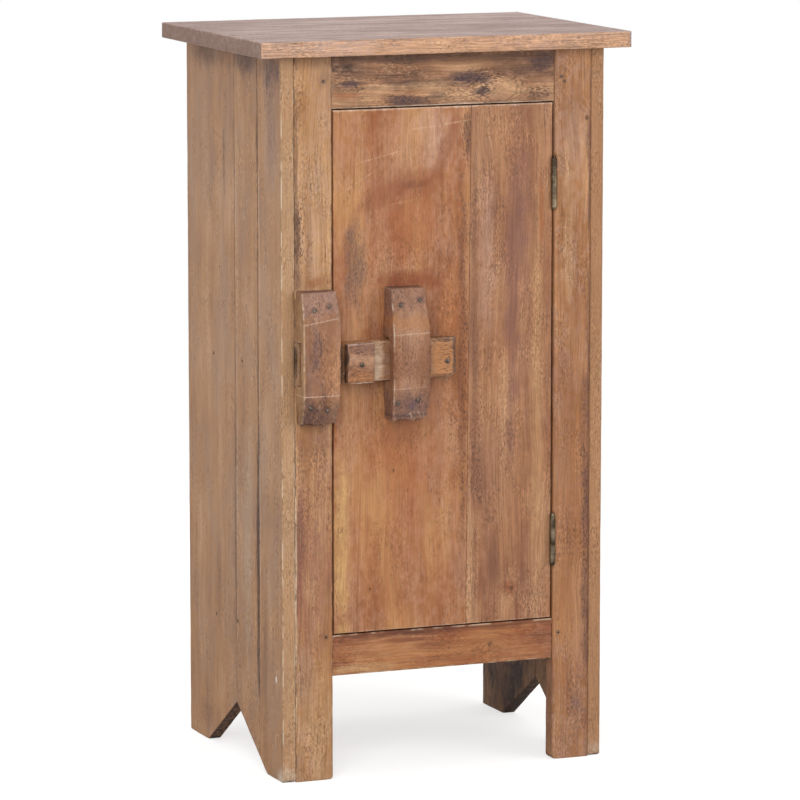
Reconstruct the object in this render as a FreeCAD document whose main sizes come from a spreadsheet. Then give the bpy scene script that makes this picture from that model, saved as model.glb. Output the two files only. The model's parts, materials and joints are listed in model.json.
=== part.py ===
"""Small cupboard table in reclaimed wood: framed front, plank door on butt hinges, sliding wooden bolt."""
import FreeCAD, Part
import os
import Sketcher
from FreeCAD import Vector

# Driving dimensions in millimetres
SIZES = {
    # The case as a whole
    "total_height": 754,
    "case_width": 352,
    "case_depth": 280,
    "board_ease": 1.2,
    # Top boards
    "top_thickness": 16.5,
    "top_side_overhang": 26.5,
    "top_front_overhang": 17,
    "top_rear_overhang": 2.5,
    "top_corner_radius": 5,
    "top_edge_ease": 2.5,
    # Sides, measured back from the front of the case
    "side_thickness": 14,
    "front_side_board_width": 68,
    "middle_side_board_width": 68,
    "notch_height": 58,
    "front_foot_length": 47.5,
    "rear_foot_length": 55.5,
    # Front frame
    "stile_width": 40.5,
    "stile_thickness": 17,
    "top_rail_height": 53.5,
    "bottom_rail_height": 42,
    "bottom_rail_lift": 107,
    "tenon_length": 20,
    "tenon_thickness": 6,
    "tenon_shoulder": 8,
    "tenon_clearance": 0.15,
    "front_cheek": 4,
    # Back, floor and shelf
    "back_thickness": 10,
    "back_rail_height": 40,
    "back_rail_thickness": 18,
    "floor_thickness": 12,
    "shelf_thickness": 12,
    "shelf_lift": 408,
    "shelf_front_gap": 3,
    "cleat_size": 18,
    # Door
    "door_setback": 1.5,
    "door_thickness": 15,
    "door_side_gap": 2,
    "door_end_gap": 1.2,
    "wide_plank_top_width": 149.5,
    "wide_plank_bottom_width": 144.5,
    "batten_height": 50,
    "batten_thickness": 14,
    "batten_side_inset": 14,
    "batten_end_inset": 62,
    "batten_chamfer": 4,
    "stop_length": 120,
    "stop_drop": 10,
    "stop_thickness": 12,
    # Butt hinges
    "hinge_height": 50,
    "hinge_inset": 57,
    "hinge_proud": 1,
    "knuckle_radius": 2.9,
    "knuckle_clearance": 0.4,
    "knuckle_gap": 0.4,
    "hinge_pin_radius": 1.5,
    "hinge_pin_clearance": 0.05,
    "hinge_tip_radius": 2.3,
    "hinge_tip_height": 2,
    "leaf_thickness": 1.3,
    "leaf_width": 15.5,
    "leaf_gap": 0.7,
    "leaf_hole_diameter": 3.4,
    "gain_clearance": 0.1,
    # Latch: bowed keeper on the stile, bowed guide on the door
    "bracket_width": 40.5,
    "bracket_height": 136,
    "bracket_lift": 367.5,
    "bracket_ease": 1.5,
    "bracket_end_taper": 1.5,
    "fold_radius": 3,
    "keeper_head_thickness": 16,
    "keeper_foot_thickness": 16,
    "keeper_middle_thickness": 25.5,
    "keeper_lower_fold": 30,
    "keeper_upper_fold": 107,
    "keeper_play": 1.5,
    "guide_head_thickness": 18.5,
    "guide_foot_thickness": 23.5,
    "guide_middle_thickness": 30.5,
    "guide_lower_fold": 34.5,
    "guide_upper_fold": 90,
    "guide_side_inset": 53,
    "guide_seat_gap": 0.3,
    "guide_play": 0.8,
    # Latch: sliding bolt with its stop block
    "bolt_length": 128,
    "bolt_height": 41,
    "bolt_thickness": 14,
    "bolt_lift": 42,
    "bolt_tip_gap": 1,
    "bolt_face_gap": 0.6,
    "bolt_chip": 5,
    "bolt_tip_chamfer": 2,
    "stop_block_width": 29.5,
    "stop_block_thickness": 12,
    "stop_block_from_tip": 5.5,
}

# Counts, and places of the screw holes as shares of a hinge leaf
TOP_BOARDS = 3
BACK_BOARDS = 3
FLAT_BOARDS = 2
KNUCKLES = 5
LEAF_HOLE_HEIGHT_SHARES = (0.22, 0.78)
LEAF_HOLE_WIDTH_SHARE = 0.64

doc = FreeCAD.newDocument("StorageSideTable")
dims = doc.addObject("Spreadsheet::Sheet", "Dims")
for row, (alias, size) in enumerate(SIZES.items(), start=1):
    dims.set(f"A{row}", alias)
    dims.set(f"B{row}", str(size))
    dims.setAlias(f"B{row}", alias)
doc.recompute()

# Planes that several pieces share, worked out from the driving dimensions
UNDER_TOP = "(Dims.total_height - Dims.top_thickness)"
GUIDE_REACH = "(Dims.guide_middle_thickness - Dims.door_setback)"
CASE_FRONT = f"(({GUIDE_REACH} - Dims.case_depth - Dims.top_rear_overhang) / 2)"
CASE_BACK = f"({CASE_FRONT} + Dims.case_depth)"
CASE_LEFT = "(-Dims.case_width / 2)"
INNER_HALF = "(Dims.case_width / 2 - Dims.side_thickness)"
INNER_WIDTH = f"(2 * {INNER_HALF})"
OPENING_HALF = f"({INNER_HALF} - Dims.stile_width)"
FRAME_BACK = f"({CASE_FRONT} + Dims.stile_thickness)"
RAIL_THICKNESS = "(Dims.stile_thickness - Dims.door_setback)"
RAIL_FRONT = f"({CASE_FRONT} + Dims.door_setback)"
BACK_BOARD_FRONT = f"({CASE_BACK} - Dims.back_thickness)"
BACK_RAIL_FRONT = f"({BACK_BOARD_FRONT} - Dims.back_rail_thickness)"
FLOOR_TOP = "(Dims.bottom_rail_lift + Dims.bottom_rail_height)"
FLOOR_UNDER = f"({FLOOR_TOP} - Dims.floor_thickness)"
DOOR_LEFT = f"(-{OPENING_HALF} + Dims.door_side_gap)"
DOOR_WIDTH = f"(2 * {OPENING_HALF} - 2 * Dims.door_side_gap)"
DOOR_BOTTOM = f"({FLOOR_TOP} + Dims.door_end_gap)"
DOOR_TOP = f"({UNDER_TOP} - Dims.top_rail_height - Dims.door_end_gap)"
DOOR_HEIGHT = f"({DOOR_TOP} - {DOOR_BOTTOM})"
DOOR_BACK = f"({RAIL_FRONT} + Dims.door_thickness)"
SHELF_FRONT = f"({DOOR_BACK} + Dims.shelf_front_gap)"
HINGE_X = f"({OPENING_HALF} - Dims.door_side_gap / 2)"
HINGE_Y = f"({CASE_FRONT} - Dims.hinge_proud)"
HINGE_LIFTS = {
    "lower": f"({DOOR_BOTTOM} + Dims.hinge_inset)",
    "upper": f"({DOOR_TOP} - Dims.hinge_inset - Dims.hinge_height)",
}
LEAF_SUNK = "(Dims.leaf_gap / 2 + Dims.leaf_thickness - Dims.door_side_gap / 2)"
BOLT_LEFT = f"(-{OPENING_HALF} + Dims.bolt_tip_gap)"
BOLT_BACK = f"({CASE_FRONT} - Dims.bolt_face_gap)"
BOLT_BOTTOM = "(Dims.bracket_lift + Dims.bolt_lift)"

# Sketch element numbers for the origin point and for a point's role on its element
ORIGIN = -1
FIRST_POINT, LAST_POINT, CENTRE_POINT = range(1, 4)
SMALL = 1e-6

subparts = []


def value(expression):
    """The number that an expression gives with the sheet's present sizes."""
    return float(dims.evalExpression(expression))


def new_body(label, x, y, z):
    """A sub-part whose own origin stands at the given place."""
    body = doc.addObject("PartDesign::Body", label)
    body.Label = label
    for axis, place in zip("xyz", (x, y, z)):
        body.setExpression(f"Placement.Base.{axis}", place)
    subparts.append(body)
    return body


def plane_sketch(body, role, offset="0"):
    """An empty sketch on one of the body's own planes, moved along the plane's normal."""
    plane = next(feature for feature in body.Origin.OriginFeatures if feature.Role == role)
    sketch = body.newObject("Sketcher::SketchObject", f"{body.Label}_sketch")
    sketch.AttachmentSupport = [(plane, "")]
    sketch.MapMode = "FlatFace"
    sketch.setExpression("AttachmentOffset.Base.z", offset)
    return sketch


def hold(sketch, kind, element, point, distance):
    """Keep a sketch point at a distance from the sketch's origin."""
    rule = Sketcher.Constraint(kind, ORIGIN, FIRST_POINT, element, point, value(distance))
    index = sketch.addConstraint(rule)
    sketch.setExpression(f"Constraints[{index}]", distance)


def outline(sketch, corners):
    """Closed outline of straight lines through corners that are pairs of expressions."""
    points = [Vector(value(u), value(v), 0) for u, v in corners]
    first = sketch.GeometryCount
    for start, end in zip(points, points[1:] + points[:1]):
        sketch.addGeometry(Part.LineSegment(start, end), False)
    for index, (u, v) in enumerate(corners):
        following = first + (index + 1) % len(corners)
        joined = Sketcher.Constraint("Coincident", first + index, LAST_POINT, following, FIRST_POINT)
        sketch.addConstraint(joined)
        hold(sketch, "DistanceX", first + index, FIRST_POINT, u)
        hold(sketch, "DistanceY", first + index, FIRST_POINT, v)
    return sketch


def rectangle(sketch, u_low, v_low, u_high, v_high):
    return outline(sketch, [(u_low, v_low), (u_high, v_low), (u_high, v_high), (u_low, v_high)])


def circle(sketch, u, v, diameter):
    """Circle about a centre given by two expressions."""
    centre = Vector(value(u), value(v), 0)
    element = sketch.addGeometry(Part.Circle(centre, Vector(0, 0, 1), value(diameter) / 2), False)
    hold(sketch, "DistanceX", element, CENTRE_POINT, u)
    hold(sketch, "DistanceY", element, CENTRE_POINT, v)
    index = sketch.addConstraint(Sketcher.Constraint("Diameter", element, value(diameter)))
    sketch.setExpression(f"Constraints[{index}]", diameter)
    return sketch


def grow(body, sketch, length, forward=True, both_ways=False):
    """Pad along the sketch's normal, against it, or half each way."""
    feature = body.newObject("PartDesign::Pad", f"{body.Label}_pad")
    feature.Profile = sketch
    feature.setExpression("Length", length)
    feature.Reversed = not forward
    feature.Midplane = both_ways
    doc.recompute()
    return feature


def cut(body, sketch, depth, forward):
    """Pocket along the sketch's normal or against it, which has to take wood or metal away."""
    before = body.Shape.Volume
    feature = body.newObject("PartDesign::Pocket", f"{body.Label}_pocket")
    feature.Profile = sketch
    feature.setExpression("Length", depth)
    feature.Reversed = forward
    doc.recompute()
    if body.Shape.Volume > before - SMALL:
        raise ValueError(f"a pocket of {body.Label} cuts nothing")
    return feature


def turn(body, sketch, kind):
    """Full turn of a profile about the sketch's upright axis, added or cut away."""
    feature = body.newObject(f"PartDesign::{kind}", f"{body.Label}_{kind.lower()}")
    feature.Profile = sketch
    feature.ReferenceAxis = (sketch, ["V_Axis"])
    doc.recompute()
    return feature


def runs_along(axis, **planes):
    """Test for straight edges along one axis that lie in the named planes, such as y='0'."""
    def test(edge):
        if edge.Curve.TypeId != "Part::GeomLine":
            return False
        start, end = edge.Vertexes[0].Point, edge.Vertexes[-1].Point
        straight = all(abs(getattr(end - start, other)) < SMALL for other in "xyz" if other != axis)
        placed = all(abs(getattr(start, name) - value(place)) < SMALL for name, place in planes.items())
        return straight and placed
    return test


def ease(body, kind, size, *tests):
    """Round or bevel the edges that pass any of the tests."""
    base = body.Tip
    numbered = enumerate(base.Shape.Edges, start=1)
    names = [f"Edge{number}" for number, edge in numbered if any(test(edge) for test in tests)]
    feature = body.newObject(f"PartDesign::{kind}", f"{body.Label}_{kind.lower()}")
    feature.Base = (base, names)
    feature.setExpression("Radius" if kind == "Fillet" else "Size", size)
    doc.recompute()


def box(body, length, width, height):
    """Block from the body's own origin."""
    grow(body, rectangle(plane_sketch(body, "XY_Plane"), "0", "0", length, width), height)


# Top

TOP_WIDTH = "(Dims.case_width + 2 * Dims.top_side_overhang)"
TOP_DEPTH = "(Dims.case_depth + Dims.top_front_overhang + Dims.top_rear_overhang)"
TOP_BOARD_DEPTH = f"({TOP_DEPTH} / {TOP_BOARDS})"
TOP_LEFT = f"({CASE_LEFT} - Dims.top_side_overhang)"
TOP_FRONT = f"({CASE_FRONT} - Dims.top_front_overhang)"


def top_boards():
    """Boards laid left to right; the outer rim is rounded and the joints between them are tight."""
    for index, label in enumerate(("top_front_board", "top_middle_board", "top_rear_board")):
        board = new_body(label, TOP_LEFT, f"{TOP_FRONT} + {index} * {TOP_BOARD_DEPTH}", UNDER_TOP)
        box(board, TOP_WIDTH, TOP_BOARD_DEPTH, "Dims.top_thickness")
        rim = [runs_along("y")]
        outer_edge = {0: "0", TOP_BOARDS - 1: TOP_BOARD_DEPTH}.get(index)
        if outer_edge:
            ease(board, "Fillet", "Dims.top_corner_radius", runs_along("z", y=outer_edge))
            rim.append(runs_along("x", y=outer_edge))
        ease(board, "Fillet", "Dims.top_edge_ease", *rim)


def top_cleats():
    """Square strips under the top along each side, which hold it down."""
    length = f"({BACK_RAIL_FRONT} - {FRAME_BACK})"
    lefts = {"left_top_cleat": f"-{INNER_HALF}", "right_top_cleat": f"{INNER_HALF} - Dims.cleat_size"}
    for label, left in lefts.items():
        cleat = new_body(label, left, FRAME_BACK, f"{UNDER_TOP} - Dims.cleat_size")
        box(cleat, "Dims.cleat_size", length, "Dims.cleat_size")
        ease(cleat, "Chamfer", "Dims.board_ease", runs_along("y", z="0"))


# Sides

APEX = "(Dims.front_side_board_width + Dims.middle_side_board_width)"
NOTCH_AT_JOINT = (f"(Dims.notch_height * (Dims.front_side_board_width - Dims.front_foot_length)"
                  f" / ({APEX} - Dims.front_foot_length))")
FRONT_JOINT = "Dims.front_side_board_width"
SIDE_OUTLINES = {
    "front": [("0", "0"), ("Dims.front_foot_length", "0"), (FRONT_JOINT, NOTCH_AT_JOINT),
              (FRONT_JOINT, UNDER_TOP), ("0", UNDER_TOP)],
    "middle": [(FRONT_JOINT, NOTCH_AT_JOINT), (APEX, "Dims.notch_height"),
               (APEX, UNDER_TOP), (FRONT_JOINT, UNDER_TOP)],
    "rear": [(APEX, "Dims.notch_height"), ("Dims.case_depth - Dims.rear_foot_length", "0"),
             ("Dims.case_depth", "0"), ("Dims.case_depth", UNDER_TOP), (APEX, UNDER_TOP)],
}


def side_boards():
    """Upright boards; together their lower ends leave two feet with an inverted V between them."""
    lefts = {"left": CASE_LEFT, "right": INNER_HALF}
    for side, left in lefts.items():
        for name, corners in SIDE_OUTLINES.items():
            board = new_body(f"{side}_side_{name}_board", left, CASE_FRONT, "0")
            grow(board, outline(plane_sketch(board, "YZ_Plane"), corners), "Dims.side_thickness")
            ease(board, "Fillet", "Dims.board_ease", runs_along("z"))


# Front frame

RAILS = {
    "top_rail": (f"({UNDER_TOP} - Dims.top_rail_height)", "Dims.top_rail_height"),
    "bottom_rail": ("Dims.bottom_rail_lift", "Dims.bottom_rail_height"),
}
TENON_FRONT = "(Dims.front_cheek - Dims.door_setback)"
TENON_BACK = f"({TENON_FRONT} + Dims.tenon_thickness)"


def rails():
    """Cross rails with a stub tenon at each end."""
    for label, (lift, height) in RAILS.items():
        rail = new_body(label, "0", RAIL_FRONT, lift)
        length = f"2 * {OPENING_HALF}"
        grow(rail, rectangle(plane_sketch(rail, "YZ_Plane"), "0", "0", RAIL_THICKNESS, height), length,
             both_ways=True)
        ease(rail, "Fillet", "Dims.board_ease", runs_along("x", y="0"))
        tenon = rectangle(plane_sketch(rail, "YZ_Plane"), TENON_FRONT, "Dims.tenon_shoulder", TENON_BACK,
                          f"{height} - Dims.tenon_shoulder")
        grow(rail, tenon, f"{length} + 2 * Dims.tenon_length", both_ways=True)


def stile(label, side):
    """Upright of the front frame with its inner edge at its own origin, mortised for both rails."""
    post = new_body(label, f"{side} * {OPENING_HALF}", CASE_FRONT, "0")
    box(post, f"{side} * Dims.stile_width", "Dims.stile_thickness", UNDER_TOP)
    ease(post, "Fillet", "Dims.board_ease", runs_along("z", y="0"))
    mortises = plane_sketch(post, "YZ_Plane")
    for lift, height in RAILS.values():
        rectangle(mortises, "Dims.front_cheek - Dims.tenon_clearance",
                  f"{lift} + Dims.tenon_shoulder - Dims.tenon_clearance",
                  "Dims.front_cheek + Dims.tenon_thickness + Dims.tenon_clearance",
                  f"{lift} + {height} - Dims.tenon_shoulder + Dims.tenon_clearance")
    cut(post, mortises, "Dims.tenon_length + Dims.tenon_clearance", side > 0)
    return post


# Back, floor and shelf

BACK_BOARD_WIDTH = f"({INNER_WIDTH} / {BACK_BOARDS})"
BACK_HEIGHT = f"({UNDER_TOP} - Dims.bottom_rail_lift)"
BACK_RAILS = {
    "upper_back_rail": (f"({UNDER_TOP} - Dims.back_rail_height)", "Dims.back_rail_height"),
    "lower_back_rail": ("Dims.bottom_rail_lift", f"({FLOOR_UNDER} - Dims.bottom_rail_lift)"),
}


def back_boards():
    """Upright boards between the sides, held by two rails inside."""
    for index, label in enumerate(("back_left_board", "back_middle_board", "back_right_board")):
        left = f"-{INNER_HALF} + {index} * {BACK_BOARD_WIDTH}"
        board = new_body(label, left, BACK_BOARD_FRONT, "Dims.bottom_rail_lift")
        box(board, BACK_BOARD_WIDTH, "Dims.back_thickness", BACK_HEIGHT)
        ease(board, "Chamfer", "Dims.board_ease", runs_along("z"))


def back_rails():
    """Rails inside the back boards, one under the top and one under the floor."""
    for label, (lift, height) in BACK_RAILS.items():
        rail = new_body(label, f"-{INNER_HALF}", BACK_RAIL_FRONT, lift)
        box(rail, INNER_WIDTH, "Dims.back_rail_thickness", height)
        ease(rail, "Chamfer", "Dims.board_ease", runs_along("x", y="0", z="0"))


def flat_boards(name, front, lift, thickness):
    """Boards side by side from the front to the back boards, their ends against the sides."""
    depth = f"(({BACK_BOARD_FRONT} - {front}) / {FLAT_BOARDS})"
    for index, label in enumerate((f"{name}_front_board", f"{name}_rear_board")):
        board = new_body(label, f"-{INNER_HALF}", f"{front} + {index} * {depth}", lift)
        box(board, INNER_WIDTH, depth, thickness)
        ease(board, "Chamfer", "Dims.board_ease", runs_along("x"))


def door_stop():
    """Strip behind the top rail that reaches below it, where the shut door meets it."""
    lift = f"({UNDER_TOP} - Dims.top_rail_height - Dims.stop_drop)"
    strip = new_body("door_stop", "-Dims.stop_length / 2", FRAME_BACK, lift)
    box(strip, "Dims.stop_length", "Dims.stop_thickness", f"{UNDER_TOP} - {lift}")
    ease(strip, "Chamfer", "Dims.board_ease", runs_along("x", z="0"))


# Hinges

KNUCKLE_HEIGHT = f"(Dims.hinge_height / {KNUCKLES})"


def hinge_leaf(label, lift, side, own_knuckles):
    """Plate with screw holes and every other knuckle; the rest of the barrel is cleared."""
    leaf = new_body(label, HINGE_X, HINGE_Y, lift)
    inner = f"{side} * Dims.leaf_gap / 2"
    outer = f"{side} * (Dims.leaf_gap / 2 + Dims.leaf_thickness)"
    plate = rectangle(plane_sketch(leaf, "XY_Plane"), inner, "0", outer, "Dims.leaf_width")
    grow(leaf, plate, "Dims.hinge_height")
    others = [index for index in range(KNUCKLES) if index not in own_knuckles]
    clear = plane_sketch(leaf, "XZ_Plane")
    for index in others:
        rectangle(clear, "0", f"{index} * {KNUCKLE_HEIGHT}",
                  "Dims.knuckle_radius + Dims.knuckle_clearance", f"{index + 1} * {KNUCKLE_HEIGHT}")
    turn(leaf, clear, "Groove")
    barrel = plane_sketch(leaf, "XZ_Plane")
    for index in own_knuckles:
        rectangle(barrel, "0", f"{index} * {KNUCKLE_HEIGHT} + Dims.knuckle_gap / 2",
                  "Dims.knuckle_radius", f"{index + 1} * {KNUCKLE_HEIGHT} - Dims.knuckle_gap / 2")
    turn(leaf, barrel, "Revolution")
    bore = rectangle(plane_sketch(leaf, "XZ_Plane"), "0", "0",
                     "Dims.hinge_pin_radius + Dims.hinge_pin_clearance", "Dims.hinge_height")
    turn(leaf, bore, "Groove")
    holes = plane_sketch(leaf, "YZ_Plane", inner)
    for share in LEAF_HOLE_HEIGHT_SHARES:
        circle(holes, f"{LEAF_HOLE_WIDTH_SHARE} * Dims.leaf_width", f"{share} * Dims.hinge_height",
               "Dims.leaf_hole_diameter")
    cut(leaf, holes, "Dims.leaf_thickness", side > 0)


def hinge_pin(label, lift):
    """Pin through the knuckles with a button tip at each end."""
    pin = new_body(label, HINGE_X, HINGE_Y, lift)
    tip = "Dims.hinge_tip_radius"
    shank = "Dims.hinge_pin_radius"
    top = "Dims.hinge_height"
    profile = [("0", "-Dims.hinge_tip_height"), (shank, "-Dims.hinge_tip_height"), (tip, "0"), (shank, "0"),
               (shank, top), (tip, top), (shank, f"{top} + Dims.hinge_tip_height"),
               ("0", f"{top} + Dims.hinge_tip_height")]
    turn(pin, outline(plane_sketch(pin, "XZ_Plane"), profile), "Revolution")


def hinge_gains(body, side, edge, axis_back, floor):
    """Room for both hinges in the edge of a post or plank: a leaf recess and a barrel hollow each."""
    barrel = "Dims.hinge_tip_height + Dims.knuckle_clearance"
    for lift in HINGE_LIFTS.values():
        base = f"({lift} - {floor})"
        recess = rectangle(plane_sketch(body, "YZ_Plane", edge), axis_back,
                           f"{base} - Dims.gain_clearance",
                           f"{axis_back} + Dims.leaf_width + Dims.gain_clearance",
                           f"{base} + Dims.hinge_height + Dims.gain_clearance")
        cut(body, recess, LEAF_SUNK, side > 0)
        hollow = circle(plane_sketch(body, "XY_Plane", f"{base} - {barrel}"),
                        f"{edge} - {side} * Dims.door_side_gap / 2", axis_back,
                        "2 * (Dims.knuckle_radius + Dims.knuckle_clearance)")
        cut(body, hollow, f"Dims.hinge_height + 2 * ({barrel})", True)


def hinges():
    frame_knuckles = range(0, KNUCKLES, 2)
    door_knuckles = range(1, KNUCKLES, 2)
    for name, lift in HINGE_LIFTS.items():
        hinge_leaf(f"{name}_hinge_frame_leaf", lift, 1, frame_knuckles)
        hinge_leaf(f"{name}_hinge_door_leaf", lift, -1, door_knuckles)
        hinge_pin(f"{name}_hinge_pin", lift)


# Door

PLANK_JOINT = [("Dims.wide_plank_bottom_width", "0"), ("Dims.wide_plank_top_width", DOOR_HEIGHT)]
BATTEN_WIDTH = f"({DOOR_WIDTH} - 2 * Dims.batten_side_inset)"
BATTEN_LIFTS = {
    "lower_door_batten": "Dims.batten_end_inset",
    "upper_door_batten": f"({DOOR_HEIGHT} - Dims.batten_end_inset - Dims.batten_height)",
}


def door_plank(label, corners):
    """Upright plank; the joint between the two planks leans, because one plank tapers."""
    plank = new_body(label, DOOR_LEFT, RAIL_FRONT, DOOR_BOTTOM)
    grow(plank, outline(plane_sketch(plank, "XZ_Plane"), corners), "Dims.door_thickness", False)
    def front_arris(edge):
        return all(abs(vertex.Point.y) < SMALL for vertex in edge.Vertexes)
    ease(plank, "Fillet", "Dims.board_ease", front_arris)
    return plank


def battens():
    """Cross pieces that hold the planks together behind, bevelled all round."""
    for label, lift in BATTEN_LIFTS.items():
        left = f"{DOOR_LEFT} + Dims.batten_side_inset"
        batten = new_body(label, left, DOOR_BACK, f"{DOOR_BOTTOM} + {lift}")
        box(batten, BATTEN_WIDTH, "Dims.batten_thickness", "Dims.batten_height")
        back = "Dims.batten_thickness"
        ease(batten, "Chamfer", "Dims.batten_chamfer", runs_along("x", y=back), runs_along("z", y=back))


# Latch

KEEPER_X = f"(-{INNER_HALF})"
GUIDE_X = f"({DOOR_LEFT} + Dims.guide_side_inset)"


def bracket(label, x, y, kind, slot_bottom, slot_top, slot_depth):
    """Block bowed out in three facets over a slot for the bolt; its ends narrow a little."""
    head, foot = f"Dims.{kind}_head_thickness", f"Dims.{kind}_foot_thickness"
    lower, upper = f"Dims.{kind}_lower_fold", f"Dims.{kind}_upper_fold"
    middle = f"Dims.{kind}_middle_thickness"
    width, top = "Dims.bracket_width", "Dims.bracket_height"
    block = new_body(label, x, y, "Dims.bracket_lift")
    corners = [("0", "0"), (f"-{foot}", "0"), (f"-{middle}", lower), (f"-{middle}", upper),
               (f"-{head}", top), ("0", top), ("0", slot_top), (f"-{slot_depth}", slot_top),
               (f"-{slot_depth}", slot_bottom), ("0", slot_bottom)]
    grow(block, outline(plane_sketch(block, "YZ_Plane"), corners), width)
    ease(block, "Fillet", "Dims.fold_radius", runs_along("x", y=f"-{middle}", z=lower),
         runs_along("x", y=f"-{middle}", z=upper))
    ease(block, "Fillet", "Dims.bracket_ease", runs_along("x", y=f"-{foot}", z="0"),
         runs_along("x", y=f"-{head}", z=top))
    wedges = plane_sketch(block, "XZ_Plane")
    for edge, inward in (("0", "Dims.bracket_end_taper"), (width, f"{width} - Dims.bracket_end_taper")):
        outline(wedges, [(edge, upper), (edge, top), (inward, top)])
        outline(wedges, [(edge, lower), (edge, "0"), (inward, "0")])
    cut(block, wedges, middle, True)


def keeper_and_guide():
    bolt_front = "Dims.bolt_face_gap + Dims.bolt_thickness"
    bolt_top = "Dims.bolt_lift + Dims.bolt_height"
    bracket("bolt_keeper", KEEPER_X, CASE_FRONT, "keeper", "(Dims.bolt_lift - Dims.keeper_play)",
            f"({bolt_top} + Dims.keeper_play)", f"({bolt_front} + Dims.keeper_play)")
    bracket("bolt_guide", GUIDE_X, RAIL_FRONT, "guide", "(Dims.bolt_lift - Dims.guide_seat_gap)",
            f"({bolt_top} + Dims.guide_play)", f"({bolt_front} + Dims.door_setback + Dims.guide_play)")


def bolt():
    """Sliding bar with a worn lower corner, and the stop block on its front."""
    bar = new_body("bolt_bar", BOLT_LEFT, BOLT_BACK, BOLT_BOTTOM)
    length, height = "Dims.bolt_length", "Dims.bolt_height"
    corners = [("0", "0"), (f"{length} - Dims.bolt_chip", "0"), (length, "Dims.bolt_chip"), (length, height),
               ("0", height)]
    grow(bar, outline(plane_sketch(bar, "XZ_Plane"), corners), "Dims.bolt_thickness")
    tip_front = runs_along("z", x="0", y="-Dims.bolt_thickness")
    tip_back = runs_along("z", x="0", y="0")
    ease(bar, "Chamfer", "Dims.bolt_tip_chamfer", tip_front, tip_back)

    block_left = f"{BOLT_LEFT} + Dims.stop_block_from_tip"
    block_front = f"{BOLT_BACK} - Dims.bolt_thickness - Dims.stop_block_thickness"
    block = new_body("bolt_stop_block", block_left, block_front, BOLT_BOTTOM)
    box(block, "Dims.stop_block_width", "Dims.stop_block_thickness", height)
    ease(block, "Fillet", "Dims.bracket_ease", runs_along("z", y="0"), runs_along("x", y="0"))


def build():
    top_boards()
    top_cleats()
    side_boards()
    rails()
    stile("left_stile", -1)
    right_stile = stile("right_stile", 1)
    hinge_gains(right_stile, 1, "0", "-Dims.hinge_proud", "0")
    back_boards()
    back_rails()
    flat_boards("floor", FRAME_BACK, FLOOR_UNDER, "Dims.floor_thickness")
    flat_boards("shelf", SHELF_FRONT, "Dims.shelf_lift", "Dims.shelf_thickness")
    door_stop()
    hinges()
    wide_corners = [("0", "0"), *PLANK_JOINT, ("0", DOOR_HEIGHT)]
    door_plank("door_wide_plank", wide_corners)
    narrow_corners = [PLANK_JOINT[0], (DOOR_WIDTH, "0"), (DOOR_WIDTH, DOOR_HEIGHT), PLANK_JOINT[1]]
    narrow_plank = door_plank("door_narrow_plank", narrow_corners)
    hinge_gains(narrow_plank, -1, DOOR_WIDTH, "-Dims.hinge_proud - Dims.door_setback", DOOR_BOTTOM)
    battens()
    keeper_and_guide()
    bolt()
    doc.recompute()


def write():
    """Write every sub-part once the whole document is sound."""
    for item in doc.Objects:
        if {"Invalid", "Error"} & set(item.State):
            raise ValueError(f"{item.Label} failed: {item.State}")
    for body in subparts:
        if body.Shape.isNull() or not body.Shape.isValid():
            raise ValueError(f"{body.Label} has no sound shape")
    os.makedirs("parts", exist_ok=True)
    for body in subparts:
        body.Shape.exportStep(f"parts/{body.Label}.step")
    print(f"{len(subparts)} sub-parts written")


build()
write()
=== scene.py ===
"""Looks of the reclaimed-wood side table: worn teak boards, a wooden bolt, butt hinges and nails."""
import json
import math

import bmesh
import bpy
import numpy as np
from mathutils import Matrix, Vector
from mathutils.bvhtree import BVHTree

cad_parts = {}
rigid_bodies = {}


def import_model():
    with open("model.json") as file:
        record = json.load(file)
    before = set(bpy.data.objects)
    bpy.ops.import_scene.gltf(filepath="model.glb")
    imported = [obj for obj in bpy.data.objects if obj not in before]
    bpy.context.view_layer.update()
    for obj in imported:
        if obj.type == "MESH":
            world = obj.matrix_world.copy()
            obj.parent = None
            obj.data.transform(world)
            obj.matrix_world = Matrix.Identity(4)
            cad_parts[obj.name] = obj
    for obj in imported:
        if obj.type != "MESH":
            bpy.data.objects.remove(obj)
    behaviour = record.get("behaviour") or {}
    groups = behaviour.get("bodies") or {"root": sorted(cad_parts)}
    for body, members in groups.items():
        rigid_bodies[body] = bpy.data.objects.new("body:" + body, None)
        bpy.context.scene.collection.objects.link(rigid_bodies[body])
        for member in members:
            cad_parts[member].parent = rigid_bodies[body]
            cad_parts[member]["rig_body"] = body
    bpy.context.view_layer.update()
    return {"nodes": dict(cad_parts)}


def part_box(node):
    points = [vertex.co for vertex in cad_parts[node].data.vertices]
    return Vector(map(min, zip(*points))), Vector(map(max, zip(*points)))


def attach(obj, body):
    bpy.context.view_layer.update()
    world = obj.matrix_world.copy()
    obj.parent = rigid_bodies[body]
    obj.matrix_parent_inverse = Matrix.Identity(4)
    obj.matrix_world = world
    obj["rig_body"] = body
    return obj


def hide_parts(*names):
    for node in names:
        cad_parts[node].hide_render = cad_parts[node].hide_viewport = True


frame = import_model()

MM = 0.001
NODE_FAMILIES = ("ShaderNode", "GeometryNode", "FunctionNode", "")


def add(tree, kind, inputs=(), **settings):
    """Add a node with its settings; an input, by name or number, takes a value, an outlet of another node,
    another node for its first outlet, or a list of these."""
    family = next(family for family in NODE_FAMILIES if hasattr(bpy.types, family + kind))
    made = tree.nodes.new(family + kind)
    for name, value in settings.items():
        setattr(made, name, value)
    for name, value in dict(inputs).items():
        for part in value if isinstance(value, list) else [value]:
            source = part.outputs[0] if isinstance(part, bpy.types.Node) else part
            if isinstance(source, bpy.types.NodeSocket):
                tree.links.new(source, made.inputs[name])
            else:
                made.inputs[name].default_value = source
    return made


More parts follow.
